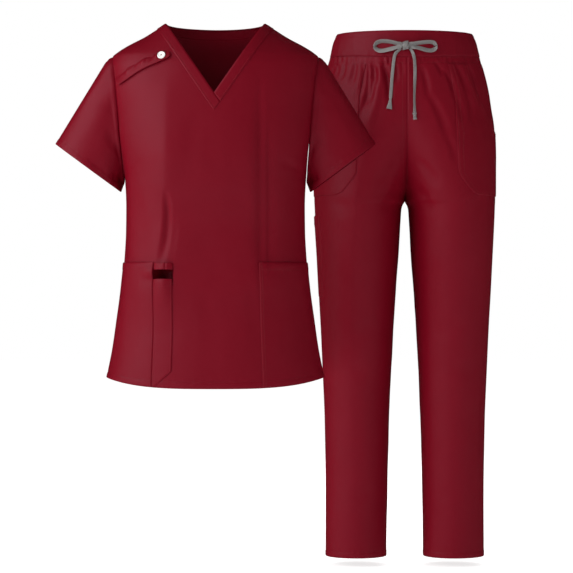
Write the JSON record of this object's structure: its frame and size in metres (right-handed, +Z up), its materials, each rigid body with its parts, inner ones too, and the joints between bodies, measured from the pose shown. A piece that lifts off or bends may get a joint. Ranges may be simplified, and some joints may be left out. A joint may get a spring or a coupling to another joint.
{
  "type": "medical scrubs set",
  "caption": "Medical scrubs: a short-sleeved V-neck tunic with patch pockets, a buttoned shoulder strap and drawstring trousers with gathered waist, hip pockets and a cargo pocket.",
  "frame": {"origin": "midway between the top's two neck points, where its shoulders rest on the wearer", "axes": "+Z up, -Y out of the front of both garments, +X to the right as they are looked at"},
  "size_m": [0.8368, 0.4392, 1.0102],
  "materials": {
    "scrub_cloth": "matt wine-red poplin",
    "rib_cloth": "matt wine-red knitted rib",
    "cord_grey": "grey flat braid",
    "button_white": "white four-hole button"
  },
  "bodies": {
    "root": {"bow_knot": "cord_grey", "bow_loop_left": "cord_grey", "bow_loop_right": "cord_grey", "cargo_pocket": "scrub_cloth", "cord_end_right": "cord_grey", "cord_tail_left": "cord_grey", "cord_tail_right": "cord_grey", "end_knot": "cord_grey", "hip_pocket_left": "scrub_cloth", "hip_pocket_right": "scrub_cloth", "leg_back_left": "scrub_cloth", "leg_back_right": "scrub_cloth", "leg_front_left": "scrub_cloth", "leg_front_right": "scrub_cloth", "neckband_back": "scrub_cloth", "neckband_left": "scrub_cloth", "neckband_right": "scrub_cloth", "pen_pocket": "scrub_cloth", "pocket_loop": "scrub_cloth", "shoulder_strap": "scrub_cloth", "sleeve_left": "scrub_cloth", "sleeve_right": "scrub_cloth", "strap_button": "button_white", "top_back": "scrub_cloth", "top_front": "scrub_cloth", "top_pocket_left": "scrub_cloth", "top_pocket_right": "scrub_cloth", "waistband": "rib_cloth"}
  },
  "joints": []
}
